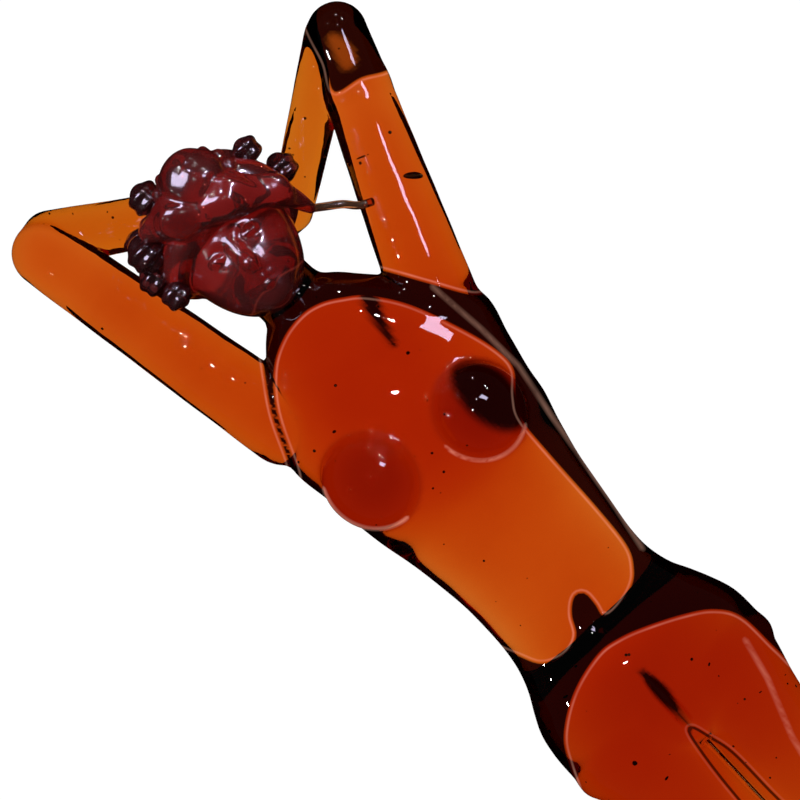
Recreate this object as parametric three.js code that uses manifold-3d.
// A lampworked glass dip pen whose handle is a standing figure with raised arms, in millimetres.
// The pen lies on its back on a table at z = 0: the elbows point to -X, the nib points to +X and
// the figure's front faces +Z. While the pen is being built, x = 0 and y = 0 are at the crotch.
// Each piece is one gather or rod of glass, and a weld is left open by weldGap on every side.
import * as THREE from "three";
import { mergeVertices } from "three/addons/utils/BufferGeometryUtils.js";
import Module from "manifold-3d";

const wasm = await Module();
wasm.setup();

// ---- driving dimensions -------------------------------------------------------------------
const weldGap = 0.3;

// Trunk: widths across Y, and the heights of its back and front above the table.
const hip = { x: -1.5, width: 24.7, back: 0.4, front: 13.3 };
const waist = { x: -16.5, width: 17.5, back: 3.4, front: 11.3 };
const ribs = { x: -27, width: 20.2, back: 1.4, front: 12 };
const chest = { x: -38, width: 24.2, back: -0.4, front: 12.9 };
const shoulder = { x: -45.5, width: 21.6, back: 1, front: 12.4 };
const hipSeamX = -8.6;
const legSeamX = 2.5;

// Applied gathers on the chest. The left one sits lower on the body than the right one by twice lag.
const bust = { x: -35.5, lag: 1, spread: 6.1, length: 10.6, width: 9.5, height: 8.5, z: 11.5 };

// Neck, head and hair.
const neck = { radius: 3.9, z: 7.6, rise: 0.6, from: -49, to: -57 };
const head = { x: -62.2, y: -0.6, z: 10.8, length: 13.4, width: 12.4, depth: 12 };
const hair = { thickness: 1.5, line: -62.4, tilt: 28 };
const bun = { across: 8, up: 32, radius: 3.4, height: 6.2, rise: 1, braidRadius: 1 };
const roll = { radius: 1.7, lift: 0.7, tip: 0.5 };
const lockRadius = 0.95;

// Arms: y is measured outwards from the middle of the body.
const armLeft = {
  side: 1,
  shoulder: { x: -42.4, y: 9.3, z: 7, radius: 4.9 },
  elbow: { x: -71.3, y: 21.1, z: 8.4, radius: 3 },
  bend: { x: -71.3, y: 20.6, z: 7.6, radius: 2.7 },
  wrist: { x: -62, y: 5.8, z: 3.1, radius: 2.2 },
};
const armRight = {
  side: -1,
  shoulder: { x: -43, y: 8.6, z: 7, radius: 4.4 },
  elbow: { x: -75.2, y: 15.2, z: 7.4, radius: 3.4 },
  bend: { x: -75.9, y: 13.9, z: 6.4, radius: 2.8 },
  wrist: { x: -70.3, y: 4.4, z: 3.4, radius: 2.5 },
};
const hand = { length: 7, width: 4.8, thickness: 3, z: 2.2, cross: 2.4 };
const bridge = { radius: 0.7, share: 0.5 };

// Legs: share is the way down from the crotch to the toes.
const legLength = 66;
const thigh = { width: hip.width / 2, back: 0, front: 12.9 };
const midThigh = { share: 0.2, width: 9.9, back: 1.8, front: 12 };
const knee = { share: 0.4, width: 7, back: 3.3, front: 11 };
const calf = { share: 0.54, width: 7, back: 2.9, front: 10.2 };
const shin = { share: 0.68, width: 5.8, back: 3.7, front: 9.7 };
const ankle = { share: 0.83, width: 4.1, back: 4.9, front: 9.2 };
const instep = { share: 0.91, width: 4, back: 4.8, front: 9.7 };
const toe = { share: 1, width: 2.9, back: 5.8, front: 8.6 };

// Writing end, turned round its own axis, which runs through the toes.
const axisZ = 7.2;
const knop = { radius: 4.6, neck: 2.7, length: 9, overToes: 3.2 };
const collar = { radius: 3.8, length: 2.4 };
const grip = { length: 9, waist: 2.4, end: 3.2 };
const nib = { length: 25, root: 2.6, radius: 3.8, tip: 0.45, flutes: 8, depth: 0.13, turns: 0.55 };

// ---- colours ------------------------------------------------------------------------------
const amberGlass = new THREE.MeshStandardMaterial({ color: 0xb8480a, roughness: 0.04, metalness: 0 });
const plumGlass = new THREE.MeshStandardMaterial({ color: 0x5c1d25, roughness: 0.05, metalness: 0 });
const hairGlass = new THREE.MeshStandardMaterial({ color: 0x43141c, roughness: 0.05, metalness: 0 });

// ---- solids -------------------------------------------------------------------------------
function solidOf(geometry) {
  const bare = geometry.clone();
  bare.deleteAttribute("normal");
  bare.deleteAttribute("uv");
  const merged = mergeVertices(bare, 1e-4);
  return new wasm.Manifold(
    new wasm.Mesh({
      numProp: 3,
      vertProperties: new Float32Array(merged.attributes.position.array),
      triVerts: new Uint32Array(merged.index.array),
    }),
  );
}

function geometryOf(solid) {
  const mesh = solid.getMesh();
  const geometry = new THREE.BufferGeometry();
  geometry.setAttribute("position", new THREE.BufferAttribute(mesh.vertProperties, mesh.numProp));
  geometry.setIndex(new THREE.BufferAttribute(mesh.triVerts, 1));
  geometry.computeVertexNormals();
  return geometry;
}

// The biggest body of a solid, without the crumbs that a cut may leave.
function wholeOf(solid) {
  return solid.decompose().reduce((best, body) => (body.volume() > best.volume() ? body : best));
}

// Takes away everything on the side of a plane that its normal points to.
function cutAbove(solid, point, normal) {
  const reach = 400;
  const block = new THREE.BoxGeometry(reach, reach, reach).translate(0, 0, reach / 2);
  const turn = new THREE.Quaternion().setFromUnitVectors(new THREE.Vector3(0, 0, 1), normal.clone().normalize());
  block.applyQuaternion(turn).translate(point.x, point.y, point.z);
  return solid.subtract(solidOf(block));
}

const along = (x) => new THREE.Vector3(x, 0, 0);
const beforeX = (solid, x) => cutAbove(solid, along(x), along(1));
const afterX = (solid, x) => cutAbove(solid, along(x), along(-1));

// An egg-shaped gather with the given full sizes, standing at a point.
function gather(at, sizes, grow = 0, around = 16, rings = 12) {
  const geometry = new THREE.SphereGeometry(1, around, rings);
  geometry.rotateX(Math.PI / 2);
  geometry.scale(sizes.x / 2 + grow, sizes.y / 2 + grow, sizes.z / 2 + grow);
  geometry.translate(at.x, at.y, at.z);
  return solidOf(geometry);
}

// A tapered rod with round ends between two points that carry their own radius.
function rod(from, to, grow = 0, around = 14) {
  const axis = new THREE.Vector3().subVectors(to, from);
  const reach = axis.length();
  const roundEnd = new THREE.Path();
  roundEnd.absarc(0, 0, from.radius + grow, -Math.PI / 2, 0, false);
  roundEnd.absarc(0, reach, to.radius + grow, 0, Math.PI / 2, false);
  const geometry = new THREE.LatheGeometry(onAxisAtEnds(roundEnd.getPoints(5)), around);
  geometry.applyQuaternion(
    new THREE.Quaternion().setFromUnitVectors(new THREE.Vector3(0, 1, 0), axis.normalize()),
  );
  geometry.translate(from.x, from.y, from.z);
  return solidOf(geometry);
}

function onAxisAtEnds(points) {
  points[0].x = 0;
  points[points.length - 1].x = 0;
  return points;
}

// A piece turned on the writing axis from a smooth profile of [x, radius] pairs.
function turned(start, profile, around = 20) {
  const curve = new THREE.SplineCurve(profile.map(([x, radius]) => new THREE.Vector2(radius, x)));
  const points = curve.getPoints(profile.length * 2);
  points.unshift(new THREE.Vector2(0, points[0].y));
  points.push(new THREE.Vector2(0, points[points.length - 1].y));
  const geometry = new THREE.LatheGeometry(points, around);
  geometry.rotateZ(-Math.PI / 2);
  geometry.translate(start, 0, axisZ);
  return solidOf(geometry);
}

// A body through oval sections across X. A section holds x, y, width, back and front.
function lofted(sections, grow = 0, around = 20, rings = 24) {
  const longer = (i) => grow * (Number(i === sections.length - 1) - Number(i === 0));
  const sides = new THREE.CatmullRomCurve3(
    sections.map((s, i) => new THREE.Vector3(s.x + longer(i), s.y, s.width / 2 + grow)),
    false,
    "catmullrom",
  );
  const heights = new THREE.CatmullRomCurve3(
    sections.map((s, i) => new THREE.Vector3(s.x + longer(i), s.back - grow, s.front + grow)),
    false,
    "catmullrom",
  );
  const geometry = new THREE.SphereGeometry(1, around, rings);
  const place = geometry.attributes.position;
  for (let i = 0; i < place.count; i++) {
    const ring = Math.floor(i / (around + 1));
    const angle = ((i % (around + 1)) / around) * 2 * Math.PI;
    const side = sides.getPoint(ring / rings);
    const height = heights.getPoint(ring / rings);
    const open = ring === 0 || ring === rings ? 0 : 1;
    const middle = (height.y + height.z) / 2;
    const half = (height.z - height.y) / 2;
    place.setXYZ(
      i,
      side.x,
      side.y + open * side.z * Math.cos(angle),
      middle - open * half * Math.sin(angle),
    );
  }
  return solidOf(geometry);
}

// A tapered strand of glass along a smooth curve through points.
function strand(points, radiusAt, grow = 0, around = 8, rings = 16) {
  const curve = new THREE.CatmullRomCurve3(points);
  const frames = curve.computeFrenetFrames(rings, false);
  const geometry = new THREE.SphereGeometry(1, around, rings);
  const place = geometry.attributes.position;
  for (let i = 0; i < place.count; i++) {
    const ring = Math.floor(i / (around + 1));
    const angle = ((i % (around + 1)) / around) * 2 * Math.PI;
    const open = ring === 0 || ring === rings ? 0 : 1;
    const radius = open * (radiusAt(ring / rings) + grow);
    const spot = curve.getPointAt(ring / rings);
    const longer = grow * (Number(ring === rings) - Number(ring === 0));
    spot.addScaledVector(frames.tangents[ring], longer);
    spot.addScaledVector(frames.normals[ring], radius * Math.cos(angle));
    spot.addScaledVector(frames.binormals[ring], -radius * Math.sin(angle));
    place.setXYZ(i, spot.x, spot.y, spot.z);
  }
  return solidOf(geometry);
}

const vector = (p) => Object.assign(new THREE.Vector3(p.x, p.y, p.z), { radius: p.radius });

// ---- trunk --------------------------------------------------------------------------------
const onAxis = (station, x = station.x) => ({ ...station, x, y: 0 });
const shrunk = (station, x, share) => {
  const middle = (station.back + station.front) / 2;
  const half = ((station.front - station.back) / 2) * share;
  return { x, y: 0, width: station.width * share, back: middle - half, front: middle + half };
};

const trunkSections = [
  shrunk(shoulder, neck.from - 3.2, 0.48),
  shrunk(shoulder, neck.from, 0.8),
  onAxis(shoulder),
  onAxis(chest),
  onAxis(ribs),
  onAxis(waist),
  shrunk(hip, (waist.x + hip.x) / 2 + 0.5, 0.85),
  onAxis(hip),
  onAxis(hip, legSeamX + 3),
  shrunk(hip, legSeamX + 8, 0.8),
];
const trunk = (grow = 0) => lofted(trunkSections, grow, 22, 28);

// The back is flattened at the shoulder blades, where the pen lies on the table.
function makeTorso() {
  const down = new THREE.Vector3(0, 0, -1);
  return cutAbove(beforeX(trunk(), hipSeamX - weldGap / 2), new THREE.Vector3(0, 0, 0), down);
}

function makePelvis() {
  return beforeX(afterX(trunk(), hipSeamX + weldGap / 2), legSeamX - weldGap / 2);
}

function makeBust(side) {
  const sizes = new THREE.Vector3(bust.length, bust.width, bust.height);
  const egg = gather(new THREE.Vector3(bust.x + side * bust.lag, side * bust.spread, bust.z), sizes, 0, 14, 10);
  const middle = new THREE.Vector3(0, (side * weldGap) / 2, 0);
  return cutAbove(egg.subtract(trunk(weldGap)), middle, new THREE.Vector3(0, -side, 0));
}

// ---- legs ---------------------------------------------------------------------------------
// A leg's inner side stays on the middle plane, so a section's y is half of its width.
function legSections(side) {
  const at = (station, x) => ({ ...station, x, y: (side * station.width) / 2 });
  const down = (station) => at(station, legLength * station.share);
  const end = { width: 1, back: axisZ - 0.6, front: axisZ + 0.6 };
  return [
    at(thigh, legSeamX - 6),
    at(thigh, legSeamX),
    ...[midThigh, knee, calf, shin, ankle, instep, toe].map(down),
    at(end, legLength + 1),
  ];
}

const legBody = (side, grow = 0) => lofted(legSections(side), grow, 12, 20);

function makeLeg(side) {
  const leg = afterX(legBody(side), legSeamX + weldGap / 2);
  return cutAbove(leg, new THREE.Vector3(0, (side * weldGap) / 2, 0), new THREE.Vector3(0, -side, 0));
}

// ---- neck and head ------------------------------------------------------------------------
const headSizes = new THREE.Vector3(head.length, head.width, head.depth);
const headPlace = vector(head);
const headBall = (grow = 0) => gather(headPlace, headSizes, grow, 18, 12);

function neckPost(grow = 0) {
  const bottom = { x: neck.from, y: 0, z: neck.z, radius: neck.radius };
  const top = { x: neck.to, y: head.y, z: neck.z + neck.rise, radius: neck.radius };
  return rod(vector(bottom), vector(top), grow, 16);
}

const makeNeck = () => wholeOf(neckPost().subtract(trunk(weldGap)).subtract(headBall(weldGap)));

// ---- hair ---------------------------------------------------------------------------------
// The cap covers the crown and the back of the head, down to a slanting hairline.
const hairSizes = headSizes.clone().addScalar(2 * hair.thickness);
const hairShift = new THREE.Vector3(-hair.thickness, 0, -hair.thickness / 2);
const hairPlace = headPlace.clone().add(hairShift);
const hairBall = (grow = 0) => gather(hairPlace, hairSizes, grow, 18, 12);

function makeHairCap() {
  const point = new THREE.Vector3(hair.line, head.y, head.z);
  const tilt = -THREE.MathUtils.degToRad(hair.tilt);
  const normal = new THREE.Vector3(1, 0, 0).applyAxisAngle(new THREE.Vector3(0, 1, 0), tilt);
  const shell = hairBall().subtract(headBall(weldGap));
  return wholeOf(cutAbove(shell, point, normal).subtract(neckPost(weldGap)));
}

// Places on the hair by two angles in degrees: across, from the front towards the figure's left
// ear, and up, from the face towards the crown. A lift stands the place off the surface.
function outOfHair(across, up) {
  const a = THREE.MathUtils.degToRad(across);
  const e = THREE.MathUtils.degToRad(up);
  return new THREE.Vector3(-Math.sin(e), Math.cos(e) * Math.sin(a), Math.cos(e) * Math.cos(a));
}

function onHair(across, up, lift = 0) {
  const out = outOfHair(across, up);
  const reach = out.clone().multiply(hairSizes).multiplyScalar(0.5);
  return hairPlace.clone().add(reach).addScaledVector(out, lift);
}

const bunOut = outOfHair(bun.across, bun.up);
const bunFoot = onHair(bun.across, bun.up);
const bunPlace = bunFoot.clone().addScaledVector(bunOut, bun.rise);
const bunSizes = new THREE.Vector3(2 * bun.radius, 2 * bun.radius, bun.height);
const bunBall = (grow = 0) => gather(bunPlace, bunSizes, grow, 14, 8);

// A plait laid round the foot of the bun.
function braidRing(grow = 0) {
  const geometry = new THREE.TorusGeometry(bun.radius + 0.1, bun.braidRadius + grow, 6, 16);
  geometry.applyQuaternion(new THREE.Quaternion().setFromUnitVectors(new THREE.Vector3(0, 0, 1), bunOut));
  geometry.translate(...bunFoot.clone().addScaledVector(bunOut, 0.4).toArray());
  return solidOf(geometry);
}

// A thick roll of hair swept over the forehead to a point behind the left ear.
const rollRadius = (t) => roll.tip + (roll.radius - roll.tip) * Math.sqrt(Math.sin(Math.PI * (0.12 + 0.88 * t)));
const rollPoints = [
  onHair(-46, 32, roll.lift),
  onHair(-16, 24, roll.lift),
  onHair(16, 12, roll.lift),
  onHair(48, -4, roll.lift),
  onHair(80, -26, roll.lift + 0.5),
];
const rollBody = (grow = 0) => strand(rollPoints, rollRadius, grow, 8, 14);

// Long locks combed from the hairline up to the bun: [across, up] at three places each.
const lockPaths = {
  lock_left: [[62, 8], [50, 24], [38, 34]],
  lock_right: [[-50, 52], [-28, 46], [-10, 50]],
};
const lockThickness = (t) => lockRadius * Math.sqrt(Math.sin(Math.PI * (0.1 + 0.8 * t)));

// Beads of hair in clusters at the temples: [across, up, radius].
const curls = {
  curl_right_1: [-62, 22, 1.9],
  curl_right_2: [-80, 8, 1.6],
  curl_right_3: [-46, 56, 1.7],
  curl_right_4: [-84, 34, 1.5],
  curl_right_5: [-70, -10, 1.4],
  curl_left_1: [92, 6, 1.6],
  curl_left_2: [76, 30, 1.4],
};

// ---- arms ---------------------------------------------------------------------------------
const outward = (point, side) => vector({ ...point, y: side * point.y });
const upperArm = (arm, grow = 0) => rod(outward(arm.shoulder, arm.side), outward(arm.elbow, arm.side), grow, 14);
const forearm = (arm, grow = 0) => rod(outward(arm.bend, arm.side), outward(arm.wrist, arm.side), grow, 12);

function handBody(arm, grow = 0) {
  const place = new THREE.Vector3(arm.wrist.x, arm.side * hand.cross, hand.z);
  const sizes = new THREE.Vector3(hand.width, hand.length, hand.thickness);
  return gather(place, sizes, grow, 12, 8);
}

// ---- writing end --------------------------------------------------------------------------
const knopStart = legLength - knop.overToes;
const collarStart = knopStart + knop.length + weldGap;
const gripStart = collarStart + collar.length + weldGap;
const nibStart = gripStart + grip.length + weldGap;

function makeKnop() {
  const shape = [
    [0, knop.neck],
    [0.16 * knop.length, 0.88 * knop.radius],
    [0.48 * knop.length, knop.radius],
    [0.84 * knop.length, 0.86 * knop.radius],
    [knop.length, knop.neck],
  ];
  return turned(knopStart, shape).subtract(legBody(1, weldGap)).subtract(legBody(-1, weldGap));
}

function makeCollar() {
  const shape = [
    [0, 0.8 * collar.radius],
    [0.25 * collar.length, collar.radius],
    [0.75 * collar.length, collar.radius],
    [collar.length, 0.8 * collar.radius],
  ];
  return turned(collarStart, shape);
}

function makeGrip() {
  const shape = [
    [0, grip.end],
    [0.5 * grip.length, grip.waist],
    [grip.length, nib.root],
  ];
  return turned(gripStart, shape);
}

// The nib is a fluted bud drawn to a point, and its flutes turn as they run to the tip.
function makeNib() {
  const around = nib.flutes * 4;
  const rings = 18;
  const outline = new THREE.SplineCurve([
    new THREE.Vector2(0, nib.root),
    new THREE.Vector2(0.16 * nib.length, nib.radius),
    new THREE.Vector2(0.42 * nib.length, 0.86 * nib.radius),
    new THREE.Vector2(0.72 * nib.length, 0.46 * nib.radius),
    new THREE.Vector2(0.93 * nib.length, 1.4 * nib.tip),
    new THREE.Vector2(nib.length, nib.tip),
  ]);
  const geometry = new THREE.SphereGeometry(1, around, rings);
  const place = geometry.attributes.position;
  for (let i = 0; i < place.count; i++) {
    const ring = Math.floor(i / (around + 1));
    const step = THREE.MathUtils.clamp((ring - 1) / (rings - 2), 0, 1);
    const open = ring === 0 || ring === rings ? 0 : 1;
    const angle = ((i % (around + 1)) / around) * 2 * Math.PI;
    const groove = 1 - nib.depth * (0.5 - 0.5 * Math.cos(nib.flutes * angle));
    const spot = outline.getPoint(step);
    const turn = angle + 2 * Math.PI * nib.turns * step;
    const radius = open * spot.y * groove;
    place.setXYZ(i, nibStart + spot.x, radius * Math.cos(turn), axisZ - radius * Math.sin(turn));
  }
  return solidOf(geometry);
}

// ---- the pen ------------------------------------------------------------------------------
const pen = new THREE.Group();
const made = [];

// Adds a piece after clearing it, by weldGap, of the pieces that it is welded onto.
function add(name, solid, material, clearOf = []) {
  const cleared = clearOf.reduce((rest, body) => rest.subtract(body(weldGap)), solid);
  made.push({ name, solid: wholeOf(cleared), material });
}

const leftArm = (grow) => upperArm(armLeft, grow);
const rightArm = (grow) => upperArm(armRight, grow);
const leftForearm = (grow) => forearm(armLeft, grow);
const rightForearm = (grow) => forearm(armRight, grow);
const bothForearms = [leftForearm, rightForearm];

add("torso", makeTorso(), amberGlass);
add("pelvis", makePelvis(), amberGlass);
add("bust_left", makeBust(1), amberGlass);
add("bust_right", makeBust(-1), amberGlass);
add("leg_left", makeLeg(1), amberGlass);
add("leg_right", makeLeg(-1), amberGlass);
add("neck", makeNeck(), amberGlass);
add("head", headBall(), plumGlass);
add("hair_cap", makeHairCap(), hairGlass);
add("hair_bun", bunBall(), hairGlass, [hairBall]);
add("bun_braid", braidRing(), hairGlass, [hairBall, bunBall]);

const onHead = [hairBall, headBall, bunBall, braidRing];
add("hair_roll", rollBody(), hairGlass, onHead);
onHead.push(rollBody);
for (const [name, path] of Object.entries(lockPaths)) {
  const points = path.map(([across, up]) => onHair(across, up, 0.5));
  const body = (grow) => strand(points, lockThickness, grow, 8, 12);
  add(name, body(0), hairGlass, onHead);
  onHead.push(body);
}
for (const [name, [across, up, radius]] of Object.entries(curls)) {
  const sizes = new THREE.Vector3(2, 2, 2).multiplyScalar(radius);
  const body = (grow) => gather(onHair(across, up, 0.5 * radius), sizes, grow, 10, 6);
  add(name, body(0), hairGlass, onHead);
  onHead.push(body);
}

add("upper_arm_left", leftArm(0), amberGlass, [trunk, headBall, hairBall, neckPost]);
add("upper_arm_right", rightArm(0), amberGlass, [trunk, headBall, hairBall, neckPost]);
add("forearm_left", leftForearm(0), amberGlass, [leftArm, ...onHead]);
add("forearm_right", rightForearm(0), amberGlass, [rightArm, ...onHead]);
add("hand_left", handBody(armLeft), amberGlass, [...bothForearms, ...onHead, neckPost]);
const leftHand = (grow) => handBody(armLeft, grow);
add("hand_right", handBody(armRight), amberGlass, [...bothForearms, leftHand, ...onHead]);

// A thin bridge of glass holds the hair's point to the left upper arm.
const bridgeFrom = rollPoints[rollPoints.length - 1].clone();
const bridgeTo = outward(armLeft.shoulder, 1).lerp(outward(armLeft.elbow, 1), bridge.share);
bridgeFrom.radius = bridge.radius;
bridgeTo.radius = bridge.radius;
add("arm_bridge", rod(bridgeFrom, bridgeTo, 0, 8), amberGlass, [leftArm, ...onHead]);

add("knop", makeKnop(), amberGlass);
add("collar", makeCollar(), amberGlass);
add("grip", makeGrip(), amberGlass);
add("nib", makeNib(), amberGlass);

for (const { name, solid, material } of made) {
  const mesh = new THREE.Mesh(geometryOf(solid), material);
  mesh.name = name;
  pen.add(mesh);
}

// The library places the pen with the middle of its outline at the origin.
pen.updateMatrixWorld(true);
const outline = new THREE.Box3().setFromObject(pen, true);
const middle = outline.getCenter(new THREE.Vector3());
for (const mesh of pen.children) {
  mesh.geometry.translate(-middle.x, -middle.y, -outline.min.z);
}

export default pen;
